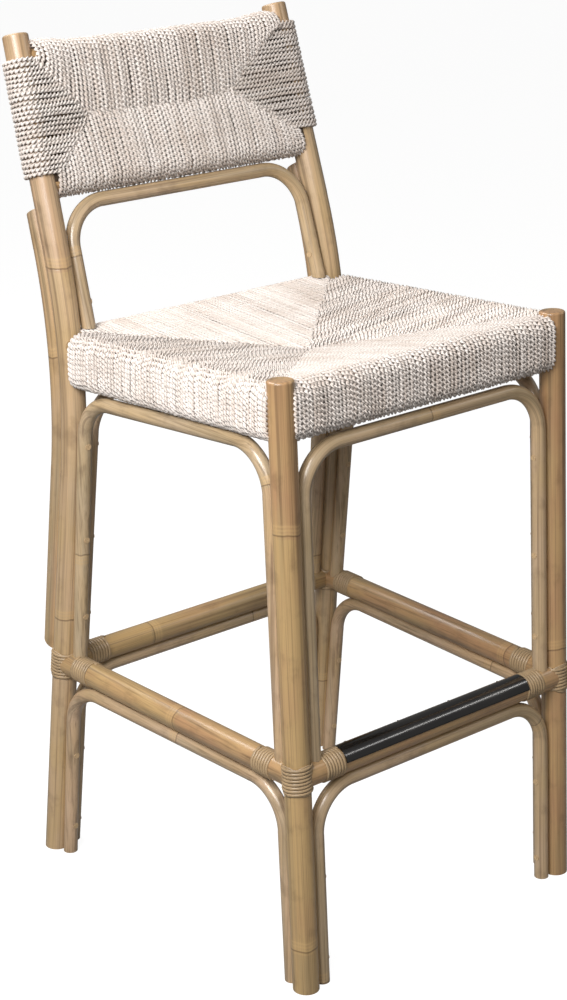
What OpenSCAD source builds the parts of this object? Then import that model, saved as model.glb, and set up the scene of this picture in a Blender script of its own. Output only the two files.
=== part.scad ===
// Bar stool with a raked backrest, made of round rattan poles.
// The seat and the backrest are woven from twisted cord over pole frames.
// Millimetres, +Z up, the footrest side is -Y, the backrest side is +Y.
// The origin is on the floor, under the middle of the stool's outer box.

/* [Overall size] */
// Distance between the front leg axes
front_w = 444; // [400:1:500]
// Distance between the back post axes, at the floor
back_w = 481; // [430:1:520]
// Distance from front leg axes to back post axes, at the floor
floor_depth = 500; // [450:1:560]
// Height of the front leg tops
leg_top = 768; // [650:1:820]
// Height of the back post tops
post_top = 1095; // [1000:1:1250]

/* [Lean and bend] */
// Backward lean of the front legs, in degrees
front_lean = 3.1; // [0:0.1:5]
// Forward lean of the back posts below the seat, in degrees
post_lean = 5.3; // [0:0.1:7]
// Backward rake of the back posts above the seat, in degrees
post_rake = 17.4; // [8:0.1:20]
// Inward lean of both back posts, in degrees
post_tilt = 1.6; // [0:0.1:2.5]
// Fall of the seat towards the back, in degrees
seat_fall = 3.5; // [0:0.1:5]
// Height of the corner that the back posts bend around
bend_z = 701; // [620:1:740]
// Length of the post's bend, on each side of that corner
bend_reach = 150; // [60:1:160]

/* [Poles] */
// Diameter of the legs and back posts
pole_d = 33; // [28:0.5:40]
// Diameter of the side and back stretchers
stretcher_d = 32; // [26:0.5:34]
// Diameter of the footrest
footrest_d = 34; // [28:0.5:38]
// Diameter of the thin bent poles
arch_d = 19; // [14:0.5:22]
// Centre radius of the thin poles' bends
arch_bend = 58; // [40:1:70]
// Diameter of the poles that back the posts
splint_d = 24; // [18:0.5:28]
// Diameter of the seat frame's rails
seat_rail_d = 26; // [20:0.5:27]
// Diameter of the backrest's rails
back_rail_d = 28; // [20:0.5:30]

/* [Heights] */
// Height of the stretchers and the footrest
stretcher_z = 282; // [200:1:340]
// Depth from the front leg tops to the middle of the seat frame
seat_drop = 39; // [34:0.5:45]
// Gap between the upper and lower rails of the seat frame
seat_rail_gap = 8; // [1:0.5:12]
// Gap between the seat weave and the thin bent pole under its front
front_arch_gap = 4; // [0.2:0.2:8]
// Height of the backrest's lower rail
back_low_z = 916; // [880:1:930]
// Height of the backrest's upper rail
back_high_z = 1063; // [1010:1:1066]

/* [Weave] */
// Thickness of the cord
cord_d = 6; // [4:0.5:8]
// How far the middle of the seat hangs below its edges
seat_dish = 26; // [0:1:30]
// How far in front of the seat's middle its four weave sectors meet
weave_mid_front = 18; // [-30:1:30]

/* [Binding and guard] */
// Width of the binding on each pole
binding_w = 27; // [15:1:30]
// Thickness of the binding
binding_t = 2.4; // [1:0.2:3]
// Thickness of the footrest's metal guard
guard_t = 1.5; // [0.8:0.1:2.5]

/* [Hidden] */
$fn = 64;

// Clearances
fit = 0.15;          // between two poles that touch
snug = 0.05;         // around a dowel or a screw, on the radius
skin = 0.3;          // between the weave and the poles inside it
tip_round = 3;       // rounding of the exposed pole ends
lap = 0.5;           // how far a bend runs into the straight poles on each side
step = 0.013;        // how much thinner a bend is than the straight poles, as a share
bend_fn = 360;
stack = (seat_rail_d + seat_rail_gap) / 2;      // from the seat frame's middle to each rail's axis

// Dowels, screws and plugs
dowel_d = 8;
seat_dowel_d = 6;
dowel_in = 6;        // past the leg's axis
dowel_out = 44;      // from the leg's axis, along the rail
dowel_shift = 5;     // keeps crossing dowels apart inside a leg
screw_d = 4;
screw_head_d = 8;
screw_head_h = 3;
screw_bite = 17;     // length of the screw inside the leg
plug_d = 8;
plug_h = 3;

// The posts' path in their own plane: x is depth, y is height along the plane
front_y = -floor_depth / 2;
post_k = [-bend_z * tan(post_lean), bend_z];
post_r = bend_reach / tan((post_lean + post_rake) / 2);
bend_low = bend_z - bend_reach * cos(post_lean);
bend_high = bend_z + bend_reach * cos(post_rake);
bend_c = post_k + [
    bend_reach * sin(post_lean) + post_r * cos(post_lean),
    -bend_reach * cos(post_lean) + post_r * sin(post_lean)
];
function plane_y(v) =
    v < bend_low ? -v * tan(post_lean)
    : v > bend_high ? post_k.x + (v - bend_z) * tan(post_rake)
    : bend_c.x - sqrt(post_r * post_r - pow(v - bend_c.y, 2));

// The stool's outer box is centred on Y = 0
front_reach = front_y - pole_d / 2 / cos(front_lean);
back_reach = floor_depth / 2 + plane_y(post_top) + pole_d / 2 * cos(post_rake);
shift_y = -(front_reach + back_reach) / 2;
front_foot_y = front_y + shift_y;
back_foot_y = floor_depth / 2 + shift_y;

// Points on the leg and post axes at a height, with side -1 for left and 1 for right
function leg_pt(side, z) = [side * front_w / 2, front_foot_y + z * tan(front_lean), z];
function post_pt(side, z) = [
    side * (back_w / 2 - z * tan(post_tilt)),
    back_foot_y + plane_y(z / cos(post_tilt)),
    z
];

// Heights of the seat frame's middle, front and back
seat_front_z = leg_top - seat_drop;
seat_run = post_pt(1, seat_front_z).y - leg_pt(1, seat_front_z).y;
seat_back_z = seat_front_z - seat_run * tan(seat_fall);
wrap_d = seat_rail_d + 2 * cord_d;
back_wrap_d = back_rail_d + 2 * cord_d;
under_front_z = seat_front_z - stack - wrap_d / 2 - arch_d / 2 - fit;
under_back_z = seat_back_z - stack - wrap_d / 2 - arch_d / 2 - fit;
arch_side = (pole_d + arch_d) / 2 + fit;

// Unit vector
function unit(v) = v / norm(v);
function turn(a) = a > 180 ? a - 360 : a < -180 ? a + 360 : a;
function heading(p, q) = atan2(q.y - p.y, q.x - p.x);

// Places the XY plane at a point, with its X and Y along two unit vectors
module in_plane(o, ex, ey) {
    ez = cross(ex, ey);
    multmatrix([
        [ex.x, ey.x, ez.x, o.x],
        [ex.y, ey.y, ez.y, o.y],
        [ex.z, ey.z, ez.z, o.z]
    ]) children();
}

// Turns +Z to point from p to q, and starts at p
module along(p, q) {
    v = q - p;
    translate(p) rotate([0, acos(v.z / norm(v)), atan2(v.y, v.x)]) children();
}

// Straight pole between two points
module pole(p, q, d) {
    along(p, q) cylinder(h = norm(q - p), d = d);
}

// Upright pole with a rounded top edge
module round_topped(h, d) {
    rotate_extrude() {
        square([d / 2, h - tip_round]);
        square([d / 2 - tip_round, h]);
        translate([d / 2 - tip_round, h - tip_round]) circle(r = tip_round);
    }
}

// Pole along corners in the XY plane, each inner corner bent to radius r
module bent_pole(pts, r, d, round_end = false) {
    last = len(pts) - 1;
    turns = [for (i = [0:last])
        i == 0 || i == last ? 0 : turn(heading(pts[i], pts[i + 1]) - heading(pts[i - 1], pts[i]))];
    trims = [for (t = turns) r * tan(abs(t) / 2)];
    for (i = [0:last - 1]) {
        a = heading(pts[i], pts[i + 1]);
        start = pts[i] + trims[i] * [cos(a), sin(a)];
        run = norm(pts[i + 1] - pts[i]) - trims[i] - trims[i + 1];
        translate([start.x, start.y, 0]) rotate([0, 90, a])
            if (round_end && i == last - 1) round_topped(run, d);
            else cylinder(h = run, d = d);
        if (i > 0) {
            a0 = heading(pts[i - 1], pts[i]);
            s = sign(turns[i]);
            left = [-sin(a0), cos(a0)];
            c = pts[i] - trims[i] * [cos(a0), sin(a0)] + s * r * left;
            from = s > 0 ? a0 - 90 : a0 + 90 + turns[i];
            more = lap / r * 180 / PI;
            translate([c.x, c.y, 0]) rotate([0, 0, from - more])
                rotate_extrude(angle = abs(turns[i]) + 2 * more, $fn = bend_fn)
                    translate([r, 0]) circle(d = d * (1 - step), $fn = 64);
        }
    }
}

// Cuts off everything below the floor
module on_floor() {
    difference() {
        children();
        translate([-front_w, -floor_depth, -100]) cube([2 * front_w, 2 * floor_depth, 100]);
    }
}

// Front leg's plain shape
module leg_shape(side, d) {
    low = leg_pt(side, -30);
    high = leg_pt(side, leg_top);
    along(low, high) round_topped(norm(high - low), d);
}

// Back post's plain shape
module post_shape(side, d) {
    in_plane([side * back_w / 2, back_foot_y, 0], [0, 1, 0], [-side * sin(post_tilt), 0, cos(post_tilt)])
        bent_pole([[30 * tan(post_lean), -30], post_k, [plane_y(post_top), post_top]], post_r, d, true);
}

// Ends of each rail: the two axis points, in order left to right or front to back
function seat_ends(name, up) =
    let (f = seat_front_z + up * stack, b = seat_back_z + up * stack)
    name == "front" ? [leg_pt(-1, f), leg_pt(1, f)]
    : name == "back" ? [post_pt(-1, b), post_pt(1, b)]
    : name == "left" ? [leg_pt(-1, f), post_pt(-1, b)]
    : [leg_pt(1, f), post_pt(1, b)];
function low_ends(name) =
    name == "front" ? [leg_pt(-1, stretcher_z), leg_pt(1, stretcher_z)]
    : name == "back" ? [post_pt(-1, stretcher_z), post_pt(1, stretcher_z)]
    : name == "left" ? [leg_pt(-1, stretcher_z), post_pt(-1, stretcher_z)]
    : [leg_pt(1, stretcher_z), post_pt(1, stretcher_z)];
function back_ends(z) = [post_pt(-1, z), post_pt(1, z)];
function low_d(name) = name == "front" ? footrest_d : stretcher_d;

// One dowel at each end of a rail, lifted by a shift
module end_dowels(ends, d, lift, grow) {
    v = unit(ends[1] - ends[0]);
    up = [0, 0, lift];
    pole(ends[0] - (dowel_in + grow) * v + up, ends[0] + (dowel_out + grow) * v + up, d + 2 * grow);
    pole(ends[1] - (dowel_out + grow) * v + up, ends[1] + (dowel_in + grow) * v + up, d + 2 * grow);
}

// Dowels of a level, widened by grow for their bores
module seat_dowel_set(grow) {
    for (up = [-1, 1]) {
        for (name = ["front", "back"]) end_dowels(seat_ends(name, up), seat_dowel_d, dowel_shift, grow);
        for (name = ["left", "right"]) end_dowels(seat_ends(name, up), seat_dowel_d, -dowel_shift, grow);
    }
}

module stretcher_dowel_set(grow) {
    for (name = ["front", "back"]) end_dowels(low_ends(name), dowel_d, dowel_shift, grow);
    for (name = ["left", "right"]) end_dowels(low_ends(name), dowel_d, -dowel_shift, grow);
}

module backrest_dowel_set(grow) {
    for (z = [back_low_z, back_high_z]) end_dowels(back_ends(z), dowel_d, 0, grow);
}

// Straight lines that the posts follow below and above their bend
function post_line(side, z) = [
    side * (back_w / 2 - z * tan(post_tilt)),
    back_foot_y - z / cos(post_tilt) * tan(post_lean),
    z
];
function rake_line(side, z) = [
    side * (back_w / 2 - z * tan(post_tilt)),
    back_foot_y + post_k.x + (z / cos(post_tilt) - bend_z) * tan(post_rake),
    z
];

// Thin bent poles: heights, the lines of their two legs, and the plane they lie in
upper_mid_z = (stretcher_z + under_front_z) / 2;
lower_mid_z = stretcher_z / 2;
backrest_foot_z = seat_back_z + stack;
backrest_bar_z = back_low_z - (back_wrap_d / 2 + arch_d / 2 + fit) * cos(post_rake);

function arch_top(name, level, end) =
    level == "rest" ? backrest_bar_z
    : level == "lower" ? stretcher_z - low_d(name) / 2 - arch_d / 2 - fit
    : name == "front" ? under_front_z - front_arch_gap
    : name != "back" && end == 0 ? under_front_z
    : under_back_z;
function arch_foot(level) =
    level == "rest" ? backrest_foot_z
    : level == "lower" ? -30
    : stretcher_z;
function arch_line(name, level, end, z) =
    level == "rest" ? rake_line(2 * end - 1, z) + [(1 - 2 * end) * arch_side, 0, 0]
    : name == "front" ? leg_pt(2 * end - 1, z) + [(1 - 2 * end) * arch_side, 0, 0]
    : name == "back" ? post_line(2 * end - 1, z) + [(1 - 2 * end) * arch_side, 0, 0]
    : end == 0 ? leg_pt(name == "left" ? -1 : 1, z) + [0, arch_side, 0]
    : post_line(name == "left" ? -1 : 1, z) - [0, arch_side, 0];
function arch_x(name, level) =
    let (z = level == "upper" ? upper_mid_z : lower_mid_z)
    name == "front" || name == "back"
        ? [1, 0, 0]
        : unit(arch_line(name, level, 1, z) - arch_line(name, level, 0, z));
function arch_y(name, level) =
    level == "rest" ? [0, sin(post_rake), cos(post_rake)]
    : name == "front" ? [0, sin(front_lean), cos(front_lean)]
    : name == "back" ? [0, -sin(post_lean), cos(post_lean)]
    : [0, 0, 1];
function arch_o(name, level) =
    let (z = level == "rest" ? backrest_foot_z : level == "upper" ? upper_mid_z : lower_mid_z)
    arch_line(name, level, 0, z);

// The point of the arch's plane that is nearest to a point
function arch_pt(name, level, end, z) =
    let (
        o = arch_o(name, level),
        x = arch_x(name, level),
        y = arch_y(name, level),
        p = arch_line(name, level, end, z) - o
    )
    o + (p * x) * x + (p * y) * y;

// A thin bent pole, without its holes
module arch_shape(name, level) {
    o = arch_o(name, level);
    x = arch_x(name, level);
    y = arch_y(name, level);
    foot = arch_foot(level);
    corners = [
        arch_pt(name, level, 0, foot), arch_pt(name, level, 0, arch_top(name, level, 0)),
        arch_pt(name, level, 1, arch_top(name, level, 1)), arch_pt(name, level, 1, foot)
    ];
    in_plane(o, x, y) bent_pole([for (c = corners) [(c - o) * x, (c - o) * y]], arch_bend, arch_d);
}

// Screw heights on each leg of an arch: those of side arches are shifted, to miss the others
screw_shift = 12;
function screw_heights(name, level) =
    let (shift = name == "left" || name == "right" ? screw_shift : 0)
    [for (z = level == "rest" ? [770, 850] : level == "upper" ? [345, 455, 585] : [30, 140]) z + shift];

// The axis that an arch's leg is screwed to
function held_pt(name, level, end, z) =
    name == "front" ? leg_pt(2 * end - 1, z)
    : name == "back" ? post_pt(2 * end - 1, z)
    : end == 0 ? leg_pt(name == "left" ? -1 : 1, z)
    : post_pt(name == "left" ? -1 : 1, z);

// Children placed at each screw of an arch, with +Z along the screw and z = 0 on the thin pole's axis
module at_arch_screws(name, level) {
    for (end = [0, 1], z = screw_heights(name, level)) {
        p = arch_pt(name, level, end, z);
        v = held_pt(name, level, end, z) - p;
        translate(p) rotate([0, acos(v.z / norm(v)), atan2(v.y, v.x)]) children();
    }
}

module at_all_arch_screws() {
    for (name = ["front", "back", "left", "right"], level = ["upper", "lower"])
        at_arch_screws(name, level) children();
    at_arch_screws("back", "rest") children();
}

// A screw, its bore and its plug, in a pole of radius r whose axis is at z = 0
plug_proud = 0.4;
module screw_in(r, grow) {
    head_z = -r + plug_h - plug_proud;
    translate([0, 0, head_z]) cylinder(h = screw_head_h + grow, d = screw_head_d + 2 * grow);
    translate([0, 0, head_z]) cylinder(h = r - head_z + screw_bite + grow, d = screw_d + 2 * grow);
}

module plug_in(r, grow) {
    translate([0, 0, -r - plug_proud - 4 * grow])
        cylinder(h = plug_h + 4 * grow, d = plug_d + 2 * grow);
}

// The posts' backing poles, in the post's plane
splint_low = 300;
splint_high = 888;
splint_cut = 35;
splint_side = (pole_d + splint_d) / 2 + fit;
splint_screw_v = [400, 525, 862];
low_normal = [cos(post_lean), sin(post_lean)];
high_normal = [cos(post_rake), -sin(post_rake)];
function splint_pt(v) = [plane_y(v), v] + splint_side * (v < bend_z ? low_normal : high_normal);

module in_post_plane(side) {
    in_plane([side * back_w / 2, back_foot_y, 0], [0, 1, 0], [-side * sin(post_tilt), 0, cos(post_tilt)])
        children();
}

module at_splint_screws(side) {
    in_post_plane(side)
        for (v = splint_screw_v) {
            a = v < bend_z ? post_lean : -post_rake;
            translate([splint_pt(v).x, splint_pt(v).y, 0]) rotate([0, -90, a]) children();
        }
}

module splint(side) {
    half = (post_lean - post_rake) / 2;
    k = post_k + splint_side / cos((post_lean + post_rake) / 2) * [cos(half), sin(half)];
    low = splint_pt(splint_low);
    high = splint_pt(splint_high);
    difference() {
        in_post_plane(side) difference() {
            bent_pole([low + (low - k) * 0.1, k, high + (high - k) * 0.1], post_r - splint_side, splint_d);
            translate([low.x, low.y, 0]) rotate(splint_cut) translate([-100, -100, -50]) cube([200, 100, 100]);
            translate([high.x, high.y, 0]) rotate(-splint_cut) translate([-100, 0, -50]) cube([200, 100, 100]);
        }
        at_splint_screws(side) {
            screw_in(splint_d / 2, snug);
            plug_in(splint_d / 2, snug);
        }
    }
}

// Front leg: a rounded top, and holes for the dowels and screws of everything fixed to it
module front_leg(side) {
    color("burlywood") difference() {
        on_floor() leg_shape(side, pole_d);
        seat_dowel_set(snug);
        stretcher_dowel_set(snug);
        for (name = ["front", side < 0 ? "left" : "right"], level = ["upper", "lower"])
            at_arch_screws(name, level) screw_in(arch_d / 2, snug);
    }
}

module front_left_leg() { front_leg(-1); }
module front_right_leg() { front_leg(1); }

// Back post: one bent pole from the floor to above the backrest
module back_post(side) {
    color("burlywood") difference() {
        on_floor() post_shape(side, pole_d);
        seat_dowel_set(snug);
        stretcher_dowel_set(snug);
        backrest_dowel_set(snug);
        for (name = ["back", side < 0 ? "left" : "right"], level = ["upper", "lower"])
            at_arch_screws(name, level) screw_in(arch_d / 2, snug);
        at_arch_screws("back", "rest") screw_in(arch_d / 2, snug);
        at_splint_screws(side) screw_in(splint_d / 2, snug);
    }
}

module back_left_post() { back_post(-1); }
module back_right_post() { back_post(1); }
module back_left_splint() { color("tan") splint(-1); }
module back_right_splint() { color("tan") splint(1); }

// What every rail's ends are cut round: the leg, or the post along its tangent at a height
module cope(side, front, z, d, reach = 45) {
    p = post_pt(side, z);
    v = unit(post_pt(side, z + 1) - post_pt(side, z - 1));
    if (front) pole(leg_pt(side, -30), leg_pt(side, leg_top + 30), d);
    else pole(p - reach * v, p + reach * v, d);
}

// Seat rail: the side rails are also cut round the front and back rails
module seat_rail(name, up) {
    ends = seat_ends(name, up);
    color("peru") difference() {
        pole(ends[0], ends[1], seat_rail_d);
        if (name == "front" || name == "back") {
            for (side = [-1, 1]) cope(side, name == "front", ends[0].z, pole_d + 2 * fit);
        } else {
            for (front = [true, false]) cope(name == "left" ? -1 : 1, front, ends[1].z, pole_d + 2 * fit);
            for (cross_name = ["front", "back"], level = [-1, 1]) {
                cross_ends = seat_ends(cross_name, level);
                pole(cross_ends[0], cross_ends[1], seat_rail_d + 2 * fit);
            }
        }
        seat_dowel_set(snug);
    }
}

module seat_front_upper_rail() { seat_rail("front", 1); }
module seat_front_lower_rail() { seat_rail("front", -1); }
module seat_back_upper_rail() { seat_rail("back", 1); }
module seat_back_lower_rail() { seat_rail("back", -1); }
module seat_left_upper_rail() { seat_rail("left", 1); }
module seat_left_lower_rail() { seat_rail("left", -1); }
module seat_right_upper_rail() { seat_rail("right", 1); }
module seat_right_lower_rail() { seat_rail("right", -1); }

// Backrest rail
module backrest_rail(z) {
    ends = back_ends(z);
    color("peru") difference() {
        pole(ends[0], ends[1], back_rail_d);
        for (side = [-1, 1]) cope(side, false, z, pole_d + 2 * fit);
        backrest_dowel_set(snug);
    }
}

module backrest_top_rail() { backrest_rail(back_high_z); }
module backrest_bottom_rail() { backrest_rail(back_low_z); }

// Stretcher or footrest, without the guard's screw holes
module low_rail(name) {
    ends = low_ends(name);
    difference() {
        pole(ends[0], ends[1], low_d(name));
        if (name == "front" || name == "back") {
            for (side = [-1, 1]) cope(side, name == "front", stretcher_z, pole_d + 2 * fit);
        } else {
            for (front = [true, false]) cope(name == "left" ? -1 : 1, front, stretcher_z, pole_d + 2 * fit);
            for (cross_name = ["front", "back"])
                pole(low_ends(cross_name)[0], low_ends(cross_name)[1], low_d(cross_name) + 2 * fit);
        }
        stretcher_dowel_set(snug);
    }
}

module left_stretcher() { color("burlywood") low_rail("left"); }
module right_stretcher() { color("burlywood") low_rail("right"); }
module back_stretcher() { color("burlywood") low_rail("back"); }

// Footrest's guard: a half tube over the top, held by screws in its rear edge
collar_from = arch_side + arch_d / 2 + 1;
guard_half = front_w / 2 - collar_from - binding_w - 0.5;
guard_edge = 12;
guard_screw_at = 30;
guard_screw_x = [for (k = [-1.5:1:1.5]) k * guard_half / 1.8];
guard_screw_d = 3;
guard_screw_l = 14;
guard_head_h = 1.4;

module at_guard_screws() {
    for (x = guard_screw_x)
        translate([x, leg_pt(1, stretcher_z).y, stretcher_z])
            rotate([guard_screw_at - 90, 0, 0]) translate([0, 0, footrest_d / 2]) children();
}

module guard_screw_shank(grow, past) {
    translate([0, 0, -guard_screw_l - grow])
        cylinder(h = guard_screw_l + grow + past, d = guard_screw_d + 2 * grow);
}

module footrest_rail() {
    color("burlywood") difference() {
        low_rail("front");
        at_guard_screws() guard_screw_shank(snug, 5);
    }
}

module footrest_guard() {
    color("dimgray") difference() {
        translate([-guard_half, leg_pt(1, stretcher_z).y, stretcher_z])
            rotate([0, 90, 0]) rotate([0, 0, 90 + guard_edge])
                rotate_extrude(angle = 180 - 2 * guard_edge)
                    translate([footrest_d / 2 + snug, 0]) square([guard_t, 2 * guard_half]);
        at_guard_screws() guard_screw_shank(snug, 5);
    }
}

module guard_screws() {
    head_z = guard_t + 2 * snug;
    color("silver") at_guard_screws() {
        guard_screw_shank(0, head_z);
        translate([0, 0, head_z]) cylinder(h = guard_head_h, d = 2 * guard_screw_d);
    }
}

// Thin bent pole with its screw holes, its feet cut to what they stand on
module arch(name, level) {
    color("tan") difference() {
        on_floor() arch_shape(name, level);
        if (level == "upper") {
            ends = low_ends(name);
            pole(ends[0], ends[1], low_d(name) + 2 * fit);
        }
        if (level == "rest") {
            ends = seat_ends("back", 1);
            for (inward = [0 : cord_d : 2 * cord_d])
                pole(ends[0] - [0, inward, 0], ends[1] - [0, inward, 0], wrap_d + 2 * fit);
        }
        at_arch_screws(name, level) {
            screw_in(arch_d / 2, snug);
            plug_in(arch_d / 2, snug);
        }
    }
}

module front_upper_arch() { arch("front", "upper"); }
module back_upper_arch() { arch("back", "upper"); }
module left_upper_arch() { arch("left", "upper"); }
module right_upper_arch() { arch("right", "upper"); }
module front_lower_arch() { arch("front", "lower"); }
module back_lower_arch() { arch("back", "lower"); }
module left_lower_arch() { arch("left", "lower"); }
module right_lower_arch() { arch("right", "lower"); }
module backrest_arch() { arch("back", "rest"); }

// Corner binding: one collar round the leg and one round each of the two poles that meet it
module binding(side, front) {
    ends_x = low_ends(front ? "front" : "back");
    ends_y = low_ends(side < 0 ? "left" : "right");
    low = stretcher_z - binding_w / 2;
    high = stretcher_z + binding_w / 2;
    near_x = side < 0 ? ends_x[0] : ends_x[1];
    near_y = front ? ends_y[0] : ends_y[1];
    v_x = unit(ends_x[1] - ends_x[0]) * -side;
    v_y = unit(ends_y[1] - ends_y[0]) * (front ? 1 : -1);
    d_x = low_d(front ? "front" : "back");
    color("khaki") {
        difference() {
            if (front) pole(leg_pt(side, low), leg_pt(side, high), pole_d + 2 * binding_t);
            else pole(post_pt(side, low), post_pt(side, high), pole_d + 2 * binding_t);
            cope(side, front, stretcher_z, pole_d + 2 * snug);
            pole(ends_x[0], ends_x[1], d_x + 2 * fit);
            pole(ends_y[0], ends_y[1], stretcher_d + 2 * fit);
        }
        collar(near_x, v_x, d_x);
        collar(near_y, v_y, stretcher_d);
    }
}

// Collar round a pole of diameter d that starts at a leg's axis and runs along v
module collar(start, v, d) {
    difference() {
        pole(start + collar_from * v, start + (collar_from + binding_w) * v, d + 2 * binding_t);
        pole(start, start + 100 * v, d + 2 * snug);
    }
}

module front_left_binding() { binding(-1, true); }
module front_right_binding() { binding(1, true); }
module back_left_binding() { binding(-1, false); }
module back_right_binding() { binding(1, false); }

// Seat weave: in each of four sectors the cord runs over the sector's two rails to the middle
seat_belly = 10;
bend_slack = 45 * 45 / post_r;      // the post bends away from its tangent by half of this
end_gap = pole_d / 2 + 1;
weave_mid = [
    0,
    (leg_pt(1, seat_front_z).y + post_pt(1, seat_back_z).y) / 2 - weave_mid_front,
    (seat_front_z + seat_back_z) / 2
];
half_thick = stack + wrap_d / 2;    // of the seat at its rails

// The part of the plan that belongs to a sector, held off its neighbours
module sector_plan(ends) {
    far = 1.4;
    c = [weave_mid.x, weave_mid.y];
    a = [ends[0].x, ends[0].y] - c;
    b = [ends[1].x, ends[1].y] - c;
    translate([0, 0, 500]) linear_extrude(500)
        offset(delta = -skin / 2) polygon([c, c + far * a, c + far * b]);
}

module seat_sector(name) {
    up_ends = seat_ends(name, 1);
    color("antiquewhite") difference() {
        intersection() {
            hull() {
                for (up = [-1, 1]) {
                    ends = seat_ends(name, up);
                    v = unit(ends[1] - ends[0]);
                    pole(ends[0] + end_gap * v, ends[1] - end_gap * v, wrap_d, $fn = 36);
                }
                translate(weave_mid + [0, 0, seat_belly - half_thick])
                    cylinder(h = 2 * half_thick - seat_belly - seat_dish, d = 1, $fn = 8);
            }
            sector_plan(up_ends);
        }
        for (up = [-1, 1])
            pole(seat_ends(name, up)[0], seat_ends(name, up)[1], seat_rail_d + 2 * skin);
        for (side = name == "left" ? [-1] : name == "right" ? [1] : [-1, 1]) {
            if (name != "back") cope(side, true, seat_front_z, pole_d + 2 * skin);
            if (name != "front") cope(side, false, seat_back_z, pole_d + 2 * skin + bend_slack);
        }
    }
}

module seat_front_weave() { seat_sector("front"); }
module seat_back_weave() { seat_sector("back"); }
module seat_left_weave() { seat_sector("left"); }
module seat_right_weave() { seat_sector("right"); }

// Backrest weave: cord over the two rails and round the two posts, as one closed body
module backrest_weave() {
    low = back_low_z + back_rail_d / 2 - 4;
    high = back_high_z + 2;
    color("antiquewhite") difference() {
        union() {
            hull() for (z = [back_low_z, back_high_z])
                pole(post_pt(-1, z) + [end_gap, 0, 0], post_pt(1, z) - [end_gap, 0, 0], back_wrap_d, $fn = 32);
            hull() for (side = [-1, 1])
                pole(post_pt(side, low), post_pt(side, high), pole_d + 2 * cord_d, $fn = 32);
        }
        for (z = [back_low_z, back_high_z]) pole(back_ends(z)[0], back_ends(z)[1], back_rail_d + 2 * skin);
        for (side = [-1, 1]) cope(side, false, (low + high) / 2, pole_d + 2 * skin, 130);
    }
}

// Fasteners: each set of identical pieces is one group
module seat_dowels() { color("wheat") seat_dowel_set(0); }
module stretcher_dowels() { color("wheat") stretcher_dowel_set(0); }
module backrest_dowels() { color("wheat") backrest_dowel_set(0); }
module arch_screws() { color("silver") at_all_arch_screws() screw_in(arch_d / 2, 0); }
module arch_plugs() { color("wheat") at_all_arch_screws() plug_in(arch_d / 2, 0); }
module splint_screws() { color("silver") for (side = [-1, 1]) at_splint_screws(side) screw_in(splint_d / 2, 0); }
module splint_plugs() { color("wheat") for (side = [-1, 1]) at_splint_screws(side) plug_in(splint_d / 2, 0); }

front_left_leg();
front_right_leg();
back_left_post();
back_right_post();
back_left_splint();
back_right_splint();
seat_front_upper_rail();
seat_front_lower_rail();
seat_back_upper_rail();
seat_back_lower_rail();
seat_left_upper_rail();
seat_left_lower_rail();
seat_right_upper_rail();
seat_right_lower_rail();
backrest_top_rail();
backrest_bottom_rail();
left_stretcher();
right_stretcher();
back_stretcher();
footrest_rail();
footrest_guard();
front_upper_arch();
back_upper_arch();
left_upper_arch();
right_upper_arch();
front_lower_arch();
back_lower_arch();
left_lower_arch();
right_lower_arch();
backrest_arch();
front_left_binding();
front_right_binding();
back_left_binding();
back_right_binding();
seat_front_weave();
seat_back_weave();
seat_left_weave();
seat_right_weave();
backrest_weave();
seat_dowels();
stretcher_dowels();
backrest_dowels();
arch_screws();
arch_plugs();
splint_screws();
splint_plugs();
guard_screws();
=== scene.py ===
import random
from functools import lru_cache
from math import copysign, cos, exp, pi, radians, sin, tan, tau

import bmesh
import bpy
import numpy as np
from bpy.props import FloatProperty, FloatVectorProperty, IntProperty, PointerProperty
from bpy.types import Operator, Panel, PropertyGroup
from mathutils import Matrix, Vector


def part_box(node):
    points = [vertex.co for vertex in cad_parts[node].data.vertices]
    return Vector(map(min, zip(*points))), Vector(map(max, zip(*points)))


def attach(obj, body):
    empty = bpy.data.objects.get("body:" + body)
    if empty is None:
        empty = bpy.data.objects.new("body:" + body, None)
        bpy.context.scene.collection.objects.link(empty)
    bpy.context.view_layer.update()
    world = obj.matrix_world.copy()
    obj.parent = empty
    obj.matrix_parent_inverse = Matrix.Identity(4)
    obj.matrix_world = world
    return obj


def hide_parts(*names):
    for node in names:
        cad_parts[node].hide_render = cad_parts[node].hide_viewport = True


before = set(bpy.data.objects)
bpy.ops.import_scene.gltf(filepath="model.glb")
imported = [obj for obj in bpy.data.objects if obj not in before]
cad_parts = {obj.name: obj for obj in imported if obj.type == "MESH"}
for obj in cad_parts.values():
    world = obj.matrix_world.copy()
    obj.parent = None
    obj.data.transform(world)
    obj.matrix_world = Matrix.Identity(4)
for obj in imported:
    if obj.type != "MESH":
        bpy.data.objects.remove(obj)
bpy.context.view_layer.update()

bl_info = {
    "name": "Woven bar stool",
    "version": (1, 0, 0),
    "blender": (4, 5, 0),
    "location": "3D Viewport > Sidebar > Stool",
    "description": "Builds the cord weave, the cane bindings and the finishes of a pole stool",
    "category": "Object",
}

MM = 0.001
SIDES = ("front", "back", "left", "right")

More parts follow.
